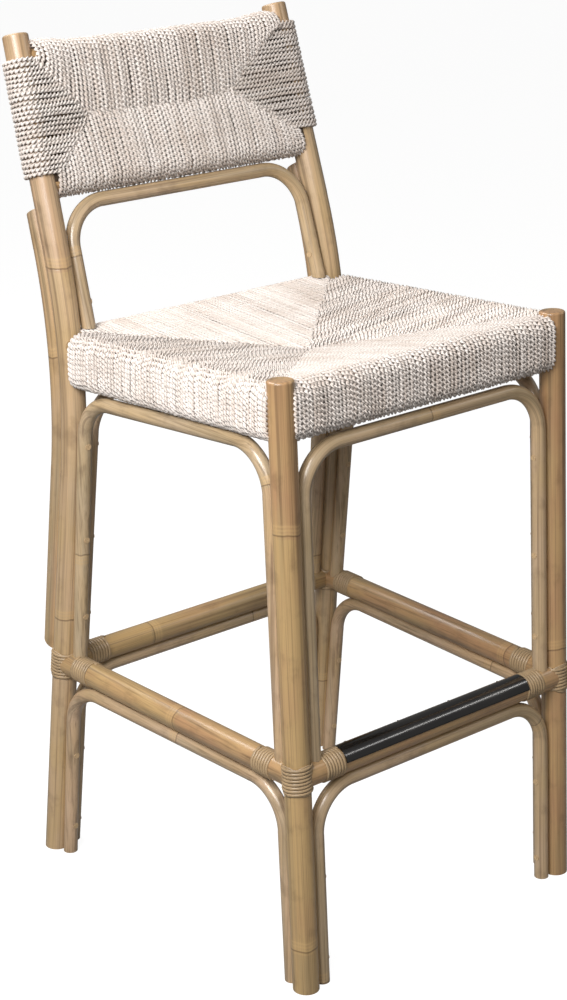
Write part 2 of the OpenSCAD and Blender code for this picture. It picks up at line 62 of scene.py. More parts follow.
WELD = 1e-6  # points nearer than this are one
LAY_R = 0.003  # a cord's radius in its lay attribute
CORE_GAP = 0.2 * MM  # between a rail and the stuffing round it
SEAT_TUCK = (11.5 * MM, 4.5 * MM)  # how far the seat's outermost cords go in beside a pole
BUNCHING = {"back": 1, "left": 0.2, "front": 0.6, "right": 0.6}
TOP_FROM, TOP_BLEND = 20 * MM, 50 * MM  # where the seat's cords start to bunch, and how gradually
SLIT_FADE = 14 * MM  # how far from a slit its cords still lean
BACK_TUCK = {-1: (13 * MM, 8 * MM), 1: (19 * MM, 19.5 * MM)}  # side sectors' corners, in from the post's axis
BACK_LIFT = {-1: 0.0, 1: 5 * MM}  # how much higher the side sectors start than the low edge
SWELL_AT, SWELL_WIDTH = 0.182, 0.03  # where the backrest's top is thicker
GROOVE_FADE = 9 * MM  # how far above the seam the groove reaches
CORE_BEHIND = 4.2 * MM  # how far the backrest's stuffing stays behind its pulled-in cords
WIND_STEPS = 28  # faces round one turn of peel
WIND_PITCH = 1.03  # from one turn to the next, in strips
WIND_FROM = 17.5 * MM  # from a leg's side to the first turn on a stretcher
WIND_OVER = 1.1 * MM  # how far off the leg its own turns lie
HOOP_STEPS = 36  # faces round a crossing strip of peel
HOOPS = ((0.95, 0), (-0.95, 0), (0.8, -1), (-0.8, 1))  # slopes of the crossing strips, and shifts in strips

THIN_R, THIN_BEND = 9.5 * MM, 58 * MM  # the thin bent poles: their radius and their bends' radius
LEG_LEAN, POST_LEAN, BACK_RAKE = (radians(angle) for angle in (3.1, 5.3, 17.4))
POST_BEND = (0.552, 0.844)  # heights where a post starts and stops bending
SPLINT_BEHIND = 0.029  # from a post's axis back to its splint's
HALF_TURN = np.linspace(0, pi, 13)  # angles round a rail or post, front to back


# ---- sizes and colours

def length(name, description, default):
    """A size in metres."""
    return FloatProperty(name=name, description=description, default=default, unit="LENGTH", precision=4)


def share(name, description, default):
    """A factor from 0 to 1."""
    return FloatProperty(name=name, description=description, default=default, min=0, max=1, subtype="FACTOR")


def angle(name, description, degrees):
    """An angle, given in degrees."""
    return FloatProperty(name=name, description=description, default=radians(degrees), subtype="ANGLE")


def colour(name, description, red, green, blue):
    """A colour given as it is seen, from 0 to 255."""
    return FloatVectorProperty(
        name=name, description=description, size=3, min=0, max=1, subtype="COLOR",
        default=[seen_to_linear(c / 255) for c in (red, green, blue)],
    )


def seen_to_linear(c):
    """One channel of a displayed colour as a linear value."""
    return c / 12.92 if c <= 0.04045 else ((c + 0.055) / 1.055) ** 2.4


class StoolCord(PropertyGroup):
    """The twisted two-ply cord."""
    thickness: length("Thickness", "Across both plies", 0.0067)
    pitch: length("Pitch", "Length of one full turn of the plies", 0.0126)
    wander: length("Wander", "How far a cord strays sideways", 0.0005)
    uneven: share("Unevenness", "Variation of a cord's thickness", 0.08)
    dive: length("Dive", "How deep a cord's end goes under its neighbours", 0.0052)
    light: colour("Light cord", "Colour of the palest cords", 231, 222, 215)
    dark: colour("Dark cord", "Colour of the darkest cords", 188, 170, 155)
    # painted shade: the stuffing's dark colour stands for the shade between the cords, and the cords' ply
    # grooves are darkened toward it
    core: colour("Core", "Colour of the stuffing under the cords", 92, 74, 58)


class StoolSeat(PropertyGroup):
    """The seat's four sectors."""
    turns: IntProperty(name="Turns", description="Cords from a corner to the middle", default=36)
    dish: length("Dish", "How far the middle hangs below the edges", 0.027)
    belly: length("Belly", "How far the underside's middle is raised", 0.010)
    left: length("Left shift", "How far left of the middle the sectors meet", 0.016)
    slit: length("Slit", "Gap in the middle of the front and right sectors", 0.0034)
    bunch: length("Bunch", "Cords on the top draw together in bunches this wide", 0.027)
    loose: length("Looseness", "How far the cords shift to bunch together", 0.0012)
    rear: length("Rear gap", "Room left on a side rail in front of the back post", 0.009)


class StoolBack(PropertyGroup):
    """The backrest's weave."""
    spacing: length("Spacing", "From one cord to the next", 0.0057)
    low: length("Low edge", "Lowest cord on the posts, above the lower rail", 0.010)
    high: length("High edge", "Highest cord on the posts, above the lower rail", 0.156)
    left_point: length("Left point", "The left sector's point, from the middle", 0.135)
    right_point: length("Right point", "The right sector's point, from the middle", 0.104)
    seam: length("Seam", "Height of the seam above the lower rail", 0.074)
    pull: length("Pull", "Distance from the middle plane to the cords at the seam", 0.0085)
    groove: length("Groove", "How much deeper the upper cords go just above the seam", 0.0038)
    swell: length("Swell", "How much thicker the weave is at the ends of its top", 0.005)


class StoolBinding(PropertyGroup):
    """The cane peel bindings."""
    strip: length("Strip width", "Width of the peel", 0.0043)
    thick: length("Strip thickness", "Thickness of the peel", 0.0016)
    turns: IntProperty(name="Turns", description="Turns round each pole", default=7)
    pale: colour("Peel", "Colour of the peel", 172, 146, 112)


class StoolPole(PropertyGroup):
    """The poles' finish."""
    honey: colour("Honey", "The main colour", 186, 154, 106)
    grey: colour("Grey wash", "Colour of the greyish streaks", 142, 126, 94)
    pink: colour("Pink", "Colour of the reddish internodes", 178, 138, 100)
    # partly the cane's own faded colour, partly a painted sheen that brightens the posts, splints and arches
    faded_and_sheen: colour("Faded", "Colour that the paler poles fade to", 218, 196, 168)
    deep: colour("Deep", "Colour of the darkest streaks and rings", 78, 56, 36)
    internode: length("Internode", "Distance between the rings", 0.47)


class StoolStudio(PropertyGroup):
    """The camera and the lights."""
    lens: FloatProperty(name="Lens", description="Focal length", default=80.39, subtype="DISTANCE_CAMERA")
    turn: angle("Turn", "Turn to the left of the front", 40.515)
    fall: angle("Fall", "Slope of the view", 20.016)
    roll: angle("Roll", "Roll of the view", -0.351)
    key: FloatProperty(name="Key light", description="Power of the main light", default=70, subtype="POWER")
    sky: share("Sky", "Strength of the light from all around", 0.2)
    paper: share("Paper", "Brightness of the seamless paper as it is seen", 1.0)


GROUPS = {
    "stool_cord": StoolCord, "stool_seat": StoolSeat, "stool_back": StoolBack,
    "stool_binding": StoolBinding, "stool_pole": StoolPole, "stool_studio": StoolStudio,
}


def settings(name):
    """The user's settings of one group."""
    return getattr(bpy.context.scene, f"stool_{name}")


def clamped(value):
    """A number kept from 0 to 1."""
    return min(max(value, 0), 1)


# ---- places taken from the frame

@lru_cache(maxsize=None)
def box(node):
    """A node's box, looked up once."""
    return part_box(node)


def middle(node):
    """The middle of a node's box."""
    low, high = box(node)
    return (low + high) / 2


def size(node):
    """The size of a node's box."""
    low, high = box(node)
    return high - low


POLE_R = size("front_left_leg").x / 2
RAIL_R = size("seat_front_upper_rail").z / 2
BACK_RAIL_R = size("backrest_top_rail").z / 2
LEG_X = -middle("front_left_leg").x
POST_FOOT_X = box("back_right_post")[1].x - POLE_R
POST_TIP_X = box("back_right_post")[0].x + POLE_R
POST_TIP_Z = box("back_right_post")[1].z


def post_x(z):
    """How far the post axes are from the middle at a height."""
    return POST_FOOT_X + (POST_TIP_X - POST_FOOT_X) * z / POST_TIP_Z


# ---- twisted cord

def resampled(points, step):
    """The same line with even steps, and the length at each of its points."""
    points = np.asarray(points, float)
    gaps = np.linalg.norm(np.diff(points, axis=0), axis=1)
    at = np.concatenate([[0], np.cumsum(gaps)])
    count = max(3, int(round(at[-1] / step)) + 1)
    even = np.linspace(0, at[-1], count)
    return np.stack([np.interp(even, at, points[:, k]) for k in range(3)], axis=1), even


class Rope:
    """Collects runs of twisted cord and lays them all into one mesh."""

    def __init__(self, name, steps=8, sides=8, seed=1):
        self.name, self.steps, self.sides = name, steps, sides
        self.luck = random.Random(seed)
        self.runs = []

    def run(self, points, sideways):
        """Adds a cord along a line. It strays a little in the sideways direction."""
        cord = settings("cord")
        line, at = resampled(points, cord.pitch / self.steps)
        wave = self.luck.uniform(0.05, 0.11)
        phase = self.luck.uniform(0, tau)
        stray = cord.wander * np.sin(at / wave * tau + phase) + self.luck.gauss(0, cord.wander / 2)
        line = line + stray[:, None] * np.array(sideways)[None, :]
        scale = 1 + self.luck.uniform(-1, 1) * cord.uneven
        pitch = cord.pitch * self.luck.uniform(0.94, 1.06)
        turn = -at / pitch * tau + self.luck.uniform(0, tau)
        self.runs.append((line, at, turn, scale, self.luck.random()))

    def profile(self):
        """Outline of two plies side by side, as an object that a curve is swept with."""
        r = settings("cord").thickness / 2
        halves = {8: [(1, 0), (0.58, 0.52), (0, 0.16), (-0.58, 0.52)], 6: [(1, 0), (0.45, 0.5), (-0.45, 0.5)]}
        half = halves[self.sides]
        outline = half + [(-x, -y) for x, y in half]
        curve = bpy.data.curves.new(self.name + "_outline", "CURVE")
        spline = curve.splines.new("POLY")
        spline.points.add(len(outline) - 1)
        for point, (x, y) in zip(spline.points, reversed(outline)):
            point.co = (x * r, y * r, 0, 1)
        spline.use_cyclic_u = True
        return link(self.name + "_outline", curve)

    def build(self):
        """Sweeps every run, welds the ends shut and keeps each cord's own values for its material."""
        curve = bpy.data.curves.new(self.name, "CURVE")
        curve.dimensions = "3D"
        curve.bevel_mode = "OBJECT"
        curve.bevel_object = outline = self.profile()
        curve.use_fill_caps = True
        curve.twist_mode = "MINIMUM"
        for line, _, turn, scale, _ in self.runs:
            spline = curve.splines.new("POLY")
            spline.points.add(len(line) - 1)
            spline.points.foreach_set("co", np.hstack([line, np.ones((len(line), 1))]).ravel())
            spline.points.foreach_set("tilt", turn)
            spline.points.foreach_set("radius", np.full(len(line), scale))
        sweep = link(self.name + "_sweep", curve)
        graph = bpy.context.evaluated_depsgraph_get()
        mesh = bpy.data.meshes.new_from_object(sweep.evaluated_get(graph))
        for spare in (sweep, outline):
            data = spare.data
            bpy.data.objects.remove(spare)
            bpy.data.curves.remove(data)
        self.mark(mesh)
        bm = bmesh.new()
        bm.from_mesh(mesh)
        bmesh.ops.remove_doubles(bm, verts=bm.verts, dist=WELD)
        bm.to_mesh(mesh)
        bm.free()
        return finished(self.name, mesh)

    def mark(self, mesh):
        """Stores, at each vertex, the cord's tone and the place along and around its plies.
        The sweep puts all the end caps first, from the last run to the first, and then the runs in order."""
        sides = self.sides
        angle = np.arange(sides) * tau / sides
        ring = np.stack([np.cos(angle), np.sin(angle)], axis=1) * LAY_R
        caps, tubes = [], []
        for _, at, _, _, tone in self.runs:
            body = np.hstack([np.tile(ring, (len(at), 1)), np.repeat(at, sides)[:, None]])
            tubes.append(np.hstack([body, np.full((len(body), 1), tone)]))
            end = np.zeros((2 * sides, 4))
            end[:, 3] = tone
            caps.insert(0, end)
        values = np.vstack(caps + tubes)
        if len(values) != len(mesh.vertices):
            raise RuntimeError(f"{self.name}: the sweep made {len(mesh.vertices)} points, not {len(values)}")
        lay = mesh.attributes.new("lay", "FLOAT_VECTOR", "POINT")
        lay.data.foreach_set("vector", values[:, :3].astype(np.float32).ravel())
        tones = mesh.attributes.new("tone", "FLOAT", "POINT")
        tones.data.foreach_set("value", values[:, 3].astype(np.float32))


def link(name, data):
    """A new object for some data, in the scene."""
    made = bpy.data.objects.new(name, data)
    bpy.context.scene.collection.objects.link(made)
    return made


def finished(name, mesh):
    """A mesh as a piece of the stool, smooth shaded."""
    mesh.shade_smooth()
    mesh.name = name
    piece = link(name, mesh)
    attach(piece, "root")
    return piece


def closed_piece(name, bm):
    """A piece from a closed bmesh, with its faces turned outward."""
    bmesh.ops.recalc_face_normals(bm, faces=bm.faces)
    mesh = bpy.data.meshes.new(name)
    bm.to_mesh(mesh)
    bm.free()
    return finished(name, mesh)


def stuffing(name, columns, rows, placed):
    """A closed body between two grids. The function places each of their points."""
    rings = []
    bm = bmesh.new()
    for upper in (True, False):
        made = bmesh.ops.create_grid(bm, x_segments=columns, y_segments=rows, size=1)["verts"]
        for vert in made:
            vert.co = placed(vert.co.x, vert.co.y, upper)
        rings += list({e for vert in made for e in vert.link_edges if e.is_boundary})
    bmesh.ops.bridge_loops(bm, edges=rings)
    return closed_piece(name, bm)


def arc(centre, radius, start, end):
    """Eleven points of an arc in a plane, from one angle to another."""
    return [(centre[0] + radius * cos(a), centre[1] + radius * sin(a))
            for a in np.linspace(start, end, 11)]


# ---- the seat

class Sector:
    """One of the seat's four sectors. A cord's place along its two rails is s, and its way in toward
    the seat's middle is i. Both are measured on the plan, and i starts at the upper rail's axis."""

    def __init__(self, name):
        self.name, self.on_side = name, name in ("left", "right")
        if self.on_side:
            sign = -1 if name == "left" else 1
            self.along, self.inward = Vector((0, 1, 0)), Vector((-sign, 0, 0))
            corners = (("front", sign), ("back", sign))
        else:
            self.along, self.inward = Vector((1, 0, 0)), Vector((0, 1 if name == "front" else -1, 0))
            corners = ((name, -1), (name, 1))
        self.up, self.low = (
            [seat_corner(end, level, sign) for end, sign in corners] for level in ("upper", "lower"))

    def rail(self, s, ends):
        """A rail's axis at s, from the axis's two ends."""
        start, stop = (end.dot(self.along) for end in ends)
        return ends[0].lerp(ends[1], (s - start) / (stop - start))

    def rails(self, s):
        """Both rails' axes at s, and how far in the lower one is."""
        up, low = self.rail(s, self.up), self.rail(s, self.low)
        return up, low, (low - up).dot(self.inward)

    def stops(self):
        """Each cord's s, its end of the rail and the gap to the next: as many on each side of the middle."""
        seat = settings("seat")
        centre = seat_centre().dot(self.along)
        for end, away in ((0, 1), (1, -1)):
            clear = POLE_R - SEAT_TUCK[end] + (seat.rear if self.on_side and end else 0)
            start = self.up[end].dot(self.along) + away * clear
            gap = (centre - start) / seat.turns
            for k in range(seat.turns):
                yield start + (k + 0.5) * gap, end, abs(gap)

    def depth(self, s, end):
        """How far in the sector's edge is at s, and how far along the edge that is, from 0 to 1."""
        corner, centre = self.up[end], seat_centre()
        start = corner.dot(self.along)
        part = clamped((s - start) / (centre.dot(self.along) - start))
        reach = (centre - corner).dot(self.inward) * part
        return reach + (corner - self.rail(s, self.up)).dot(self.inward), part

    def past(self, gap):
        """How far past the sector's edge a cord goes: on the side rails they go on under the others."""
        return (0.45 if self.on_side else -0.5) * gap

    def point(self, s, i, z):
        """A point from its s, its i and its height. On the top the cords draw together in bunches, and
        the front and right sectors part in the middle."""
        seat = settings("seat")
        base = self.rail(s, self.up)
        off = s - seat_centre().dot(self.along)
        on_top = clamped((i - TOP_FROM) / TOP_BLEND)
        loose = BUNCHING[self.name] * seat.loose
        base = base + self.along * (loose * on_top * sin(off / seat.bunch * tau))
        if self.name in ("front", "right"):
            part = seat.slit / 2 * on_top * exp(-abs(off) / SLIT_FADE)
            base = base + self.along * copysign(part, off)
        return (base + self.inward * i).xy.to_tuple() + (z,)


def seat_corner(end, level, sign):
    """Where a leg's or post's axis meets a front or back rail's axis."""
    rail = middle(f"seat_{end}_{level}_rail")
    return Vector((sign * (LEG_X if end == "front" else post_x(rail.z)), rail.y, rail.z))


@lru_cache(maxsize=None)
def seat_centre():
    """Where the sectors meet: its height is that of the cords' middle there."""
    seat, cord = settings("seat"), settings("cord")
    front, back = middle("seat_front_upper_rail").z, middle("seat_back_upper_rail").z
    crest = (front + back) / 2 + RAIL_R + cord.thickness / 2
    return Vector((-seat.left, box("seat_front_weave")[1].y, crest - seat.dish))


def top_height(sector, s, end, i):
    """Height of a cord's middle on the seat's top."""
    wrap = RAIL_R + settings("cord").thickness / 2
    rail = sector.rail(s, sector.up)
    reach, part = sector.depth(s, end)
    corner = sector.up[end].z + wrap
    edge = corner + (seat_centre().z - corner) * part ** 1.08
    crest = rail.z + wrap
    return crest + (edge - crest) * min(i / max(reach, 1e-4), 1.3)


def seat_cord_line(sector, s, end, gap):
    """A cord's line from under the lower rail, up the outside and over the top to the sector's edge."""
    cord = settings("cord")
    wrap = RAIL_R + cord.thickness / 2
    up, low, shift = sector.rails(s)
    # the hidden start is tucked up behind the lower rail
    flat = [(shift + 7 * MM, low.z - wrap + 5 * MM), (shift + 3 * MM, low.z - wrap + 1.2 * MM)]
    flat += arc((shift, low.z), wrap, -pi / 2, -pi)
    flat += arc((0, up.z), wrap, pi, pi / 2)
    reach, _ = sector.depth(s, end)
    stop = max(reach + sector.past(gap), 4 * MM)
    for k in range(1, 7):
        i = stop * k / 6
        flat.append((i, top_height(sector, s, end, i)))
    height = flat[-1][1]
    flat.append((stop + 0.45 * gap, height - 0.35 * cord.dive))
    flat.append((stop + 0.9 * gap, height - cord.dive))
    return [sector.point(s, i, z) for i, z in flat]


def under_cord_line(sector, s, end, gap):
    """A cord's line under the seat, from the lower rail to the sector's edge."""
    seat, cord = settings("seat"), settings("cord")
    wrap = RAIL_R + cord.thickness / 2
    up, low, shift = sector.rails(s)
    reach, part = sector.depth(s, end)
    rise = seat.belly * part + (seat_centre().z + seat.dish - up.z - wrap) * part
    stop = max(reach + sector.past(gap), shift + 6 * MM)
    start = low.z - wrap
    flat = [(shift - 2 * MM, start + 0.3 * MM), (shift, start), (stop, start + rise),
            (stop + 0.9 * gap, start + rise + cord.dive)]
    return [sector.point(s, i, z) for i, z in flat]


def seat_core():
    """Stuffing that fills the space just under the cords, so that no light comes through the weave. Its dark
    colour is painted shade between the cords.
    """
    seat, cord = settings("seat"), settings("cord")
    sectors = [Sector(name) for name in SIDES]
    inside = RAIL_R + CORE_GAP
    under = 0.6 * MM

    def placed(u, v, upper):
        front, back = (sector.up[0].lerp(sector.up[1], (u + 1) / 2) for sector in sectors[:2])
        spot = front.lerp(back, (v + 1) / 2)
        heights = []
        for sector in sectors:
            s = spot.dot(sector.along)
            end = 0 if s < seat_centre().dot(sector.along) else 1
            i = (spot - sector.rail(s, sector.up)).dot(sector.inward)
            reach, part = sector.depth(s, end)
            if not -0.5 * MM <= i <= reach + 1 * MM:
                continue
            if upper:
                heights.append(top_height(sector, s, end, i) - cord.thickness / 2 - under)
            else:
                rise = seat.belly * part * min(i / max(reach, 1e-4), 1)
                heights.append(sector.rail(s, sector.low).z - inside + rise + under)
        return spot.x, spot.y, (min if upper else max)(heights, default=spot.z)

    return stuffing("seat_core", 40, 40, placed)


# ---- the backrest

class BackPlane:
    """The backrest's own directions: v goes up along the rake and n comes out of the front."""

    def __init__(self):
        self.low, self.high = middle("backrest_bottom_rail"), middle("backrest_top_rail")
        self.up = (self.high - self.low).normalized()
        self.out = Vector((0, -self.up.z, self.up.y))
        self.height = (self.high - self.low).length

    def point(self, x, v, n):
        """A point in the object's frame."""
        spot = self.low + self.up * v + self.out * n
        return (x, spot.y, spot.z)

    def post(self, v):
        """How far the post axes are from the middle, at v."""
        return post_x((self.low + self.up * v).z)


PLANE = BackPlane()


def back_edges(side):
    """A side sector's corners at the post and its point, as (x, v)."""
    back = settings("back")
    point = side * (back.left_point if side < 0 else back.right_point)
    corners = [edge + BACK_LIFT[side] for edge in (back.low, back.high)]
    low, high = ((side * (PLANE.post(v) - tuck), v) for v, tuck in zip(corners, BACK_TUCK[side]))
    return low, high, (point, back_seam(point))


def back_seam(x):
    """The seam's v at x: it sags a little in the middle and climbs to the right."""
    climb = (8 * MM if x > 0 else 2 * MM) * abs(x / 0.12) ** 2 * 0.9
    return settings("back").seam - 3 * MM * cos(x / 0.1) + climb


def back_limit(x, upper):
    """The v where an upright cord at x ends, and how pulled in it is there, from 0 to 1."""
    low, high, point = back_edges(-1 if x < 0 else 1)
    if abs(x) <= abs(point[0]):
        return back_seam(x), 1.0
    corner = high if upper else low
    part = clamped((abs(corner[0]) - abs(x)) / (abs(corner[0]) - abs(point[0])))
    return corner[1] + (point[1] - corner[1]) * part, part


def fanned(x, upper, reach):
    """Where a cord that crosses its rail at x ends: the outer ones lean out to fill the corners."""
    low, high, point = back_edges(-1 if x < 0 else 1)
    corner, inner = abs((high if upper else low)[0]), abs(point[0])
    if abs(x) <= inner:
        return x
    return copysign(inner + (abs(x) - inner) * (corner - inner) / (reach - inner), x)


def upright_line(x, upper, gap, reach):
    """A cord's line from the seam's front, round a rail and down the back."""
    back, cord = settings("back"), settings("cord")
    foot = fanned(x, upper, reach)
    end, part = back_limit(foot, upper)
    wrap = BACK_RAIL_R + cord.thickness / 2
    if upper:
        wrap += back.swell * exp(-(((abs(x) - SWELL_AT) / SWELL_WIDTH) ** 2))
    rail_v = PLANE.height if upper else 0.0
    away = 1 if upper else -1
    hold = wrap + (back.pull - wrap) * part
    groove = back.groove * part if upper else 0
    stop = end - 0.35 * gap * away
    face = [(stop - 0.8 * gap * away, hold - groove - cord.dive, 0),
            (stop - 0.35 * gap * away, hold - groove - 0.3 * cord.dive, 0)]
    for k in range(10):
        f = (k / 10) ** 1.5
        bulge = 1.6 * MM * sin(f * pi) - groove * exp(-abs(rail_v - stop) * f / GROOVE_FADE)
        face.append((stop + (rail_v - stop) * f, hold + (wrap - hold) * f + bulge, f))
    turn = [(rail_v + away * wrap * sin(a), wrap * cos(a), 1) for a in HALF_TURN]
    rear = [(v, -n, f) for v, n, f in reversed(face)]
    return [PLANE.point(foot + (x - foot) * f, v, n) for v, n, f in face + turn + rear]


def around_line(side, v, gap):
    """A cord's line from a side sector's edge, round the post and back to the edge behind."""
    back, cord = settings("back"), settings("cord")
    low, high, point = back_edges(side)
    corner = high if v > point[1] else low
    part = clamped((corner[1] - v) / (corner[1] - point[1]))
    edge = abs(corner[0]) + (abs(point[0]) - abs(corner[0])) * part
    wrap = POLE_R + cord.thickness / 2
    hold = wrap + (back.pull + 0.6 * MM - wrap) * part
    axis = PLANE.post(v)
    stop = edge - 0.35 * gap
    face = [(stop - 0.8 * gap, hold - cord.dive), (stop - 0.35 * gap, hold - 0.3 * cord.dive)]
    for k in range(5):
        f = k / 5
        face.append((stop + (axis - stop) * f, hold + (wrap - hold) * f))
    turn = [(axis + wrap * sin(a), wrap * cos(a)) for a in HALF_TURN]
    rear = [(x, -n) for x, n in reversed(face)]
    return [PLANE.point(side * x, v, n) for x, n in face + turn + rear]


def back_shade_core():
    """Stuffing between the backrest's two faces. Its dark colour is painted shade between the cords."""
    inside = BACK_RAIL_R + CORE_GAP
    thin = settings("back").pull - CORE_BEHIND

    def placed(u, v, front):
        v = PLANE.height * (v + 1) / 2
        x = u * (PLANE.post(v) - 2 * MM)
        upper = v > back_seam(x)
        end, part = back_limit(x, upper)
        span = abs((PLANE.height if upper else 0) - end)
        pulled = max(1 - min(abs(v - end) / max(span, 1e-4), 1), 0) * part
        return PLANE.point(x, v, (1 if front else -1) * (inside + (thin - inside) * pulled))

    return stuffing("backrest_core", 48, 24, placed)


# ---- the bindings

def peel_outline(bm, spot, axis, out):
    """A loop of the peel's section: flat inside, slightly domed outside."""
    binding = settings("binding")
    shape = [(-0.5, 0), (-0.36, 0.72), (0, 1), (0.36, 0.72), (0.5, 0)]
    verts = [bm.verts.new(spot + axis * (a * binding.strip) + out * (b * binding.thick)) for a, b in shape]
    return [bm.edges.new((verts[k], verts[(k + 1) % len(verts)])) for k in range(len(verts))]


def wound(bm, start, axis, out, radius, turns, pitch):
    """A strip of peel wound round an axis, from a start point on that axis."""
    edges = peel_outline(bm, start + out * radius, axis, out)
    steps = int(WIND_STEPS * turns)
    bmesh.ops.spin(
        bm, geom=edges, cent=start, axis=axis, dvec=axis * (pitch * turns / steps),
        angle=tau * turns, steps=steps, use_duplicate=False,
    )


def crossed(bm, spot, lean, toward, slope):
    """A closed hoop of peel round a leg that climbs or falls toward a stretcher."""
    level = (toward - lean * toward.dot(lean)).normalized()
    edges = peel_outline(bm, spot + level * POLE_R, lean, level)
    bmesh.ops.spin(
        bm, geom=edges, cent=spot, axis=lean, angle=tau, steps=HOOP_STEPS, use_merge=True,
        use_normal_flip=False,
    )
    hoop = {v for e in edges for v in e.verts}
    front = list(hoop)
    while front:
        for edge in front.pop().link_edges:
            front += [vert for vert in edge.verts if vert not in hoop]
            hoop.update(edge.verts)
    for vert in hoop:
        vert.co += lean * (slope * (vert.co - spot).dot(level))


def corner_binding(name, side, front):
    """The peel at one corner: wound on both stretchers' ends and round the leg, and crossed there."""
    binding = settings("binding")
    near, away = ("footrest_rail", "back_stretcher") if front else ("back_stretcher", "footrest_rail")
    rail = middle(near)
    near_x, away_x = (LEG_X, post_x(rail.z)) if front else (post_x(rail.z), LEG_X)
    joint = Vector((side * near_x, rail.y, rail.z))
    far = Vector((side * away_x, middle(away).y, rail.z))
    pitch = binding.strip * WIND_PITCH
    bm = bmesh.new()
    ways = (Vector((-side, 0, 0)), (far - joint).normalized())
    for way, node in zip(ways, (near, "left_stretcher")):
        start = joint + way * (POLE_R + WIND_FROM)
        wound(bm, start, way, Vector((0, 0, 1)), size(node).z / 2, binding.turns, pitch)
    lean = leg_lean(front, side)
    turns = binding.turns + 0.5
    outward = (Vector((side, 0, 0)) - lean * lean.x * side).normalized()
    wound(bm, joint - lean * (pitch * turns / 2), lean, outward, POLE_R + WIND_OVER, turns, pitch)
    for way in ways:
        for slope, shift in HOOPS:
            crossed(bm, joint + lean * (shift * binding.strip), lean, way, slope)
    bmesh.ops.remove_doubles(bm, verts=bm.verts, dist=WELD)
    bmesh.ops.holes_fill(bm, edges=bm.edges, sides=8)
    return closed_piece(name, bm)


def leg_lean(front, side):
    """The direction of a leg or post near its stretchers."""
    if front:
        low, high = box("front_left_leg")
        return Vector((0, high.y - low.y - 2 * POLE_R, high.z)).normalized()
    upper, lower = middle("seat_back_lower_rail").z, middle("back_stretcher").z
    run = upper - lower
    return Vector((side * (post_x(upper) - post_x(lower)), -run * tan(POST_LEAN), run)).normalized()


# ---- shader maths

class Wire:
    """A number or vector on its way through a material. Sums written with it add the nodes."""

    def __init__(self, tree, socket):
        self.tree, self.socket = tree, socket

    def maths(self, operation, *values):
        """A Math node on some values."""
        return self.tree.node("Math", {"operation": operation}, dict(enumerate(values)))

    def __add__(self, other):
        return self.maths("ADD", self, other)

    def __sub__(self, other):
        return self.maths("SUBTRACT", self, other)

    def __rsub__(self, other):
        return self.maths("SUBTRACT", other, self)

    def __mul__(self, other):
        return self.maths("MULTIPLY", self, other)

    def __truediv__(self, other):
        return self.maths("DIVIDE", self, other)

    __radd__, __rmul__ = __add__, __mul__

    def above(self, level):
        """The number, but no lower than a level."""
        return self.maths("MAXIMUM", self, level)

    def below(self, level):
        """The number, but no higher than a level."""
        return self.maths("MINIMUM", self, level)

    def size(self):
        """The number without its sign."""
        return self.maths("ABSOLUTE", self)

    def eased(self, start, end):
        """0 up to start, 1 from end, and smooth between them."""
        values = {"Value": self, "From Min": start, "From Max": end}
        return self.tree.node("MapRange", {"interpolation_type": "SMOOTHSTEP"}, values)

    def along(self, direction):
        """How far a vector goes in a direction."""
        values = {0: self, 1: direction}
        return self.tree.node("VectorMath", {"operation": "DOT_PRODUCT"}, values, "Value")


class Finish:
    """A material under construction."""

    def __init__(self, name):
        self.material = bpy.data.materials.new(name)
        self.material.use_nodes = True
        self.nodes, self.links = self.material.node_tree.nodes, self.material.node_tree.links
        self.shader = next(n for n in self.nodes if n.type == "BSDF_PRINCIPLED")

    def node(self, kind, options=None, inputs=None, output=0):
        """A node with its options, and values or wires on its sockets."""
        made = self.nodes.new("ShaderNode" + kind)
        for key, value in (options or {}).items():
            setattr(made, key, value)
        for key, value in (inputs or {}).items():
            self.feed(made.inputs[key], value)
        return Wire(self, made.outputs[output])

    def feed(self, socket, value):
        """A wire or a value on a socket. A colour may come without its alpha."""
        if isinstance(value, Wire):
            self.links.new(value.socket, socket)
        elif hasattr(socket.default_value, "__len__"):
            wide = len(socket.default_value)
            socket.default_value = (tuple(value) + (1.0,))[:wide]
        else:
            socket.default_value = value

    def set(self, **values):
        """Values or wires on the shader's own sockets."""
        for key, value in values.items():
            self.feed(self.shader.inputs[key.replace("_", " ")], value)

    def place(self):
        """Where a point is on the object."""
        return self.node("TexCoord", output="Object")

    def vector(self, x, y, z):
        return self.node("CombineXYZ", inputs={0: x, 1: y, 2: z})

    def stretched(self, vector, x, y, z):
        return self.node("VectorMath", {"operation": "MULTIPLY"}, {0: vector, 1: (x, y, z)})

    def noise(self, vector, scale=1.0, detail=2.0, roughness=0.5):
        values = {"Vector": vector, "Scale": scale, "Detail": detail, "Roughness": roughness}
        return self.node("TexNoise", inputs=values)

    def chance(self, number):
        """A random value that stays the same for the same number."""
        return self.node("TexWhiteNoise", {"noise_dimensions": "1D"}, {"W": number})

    def mix(self, first, second, amount):
        """One colour turning into another."""
        values = {0: amount, 6: first, 7: second}
        return self.node("Mix", {"data_type": "RGBA"}, values, 2)

    def bump(self, height, strength, distance):
        values = {"Height": height, "Strength": strength, "Distance": distance}
        return self.node("Bump", inputs=values)


# ---- finishes

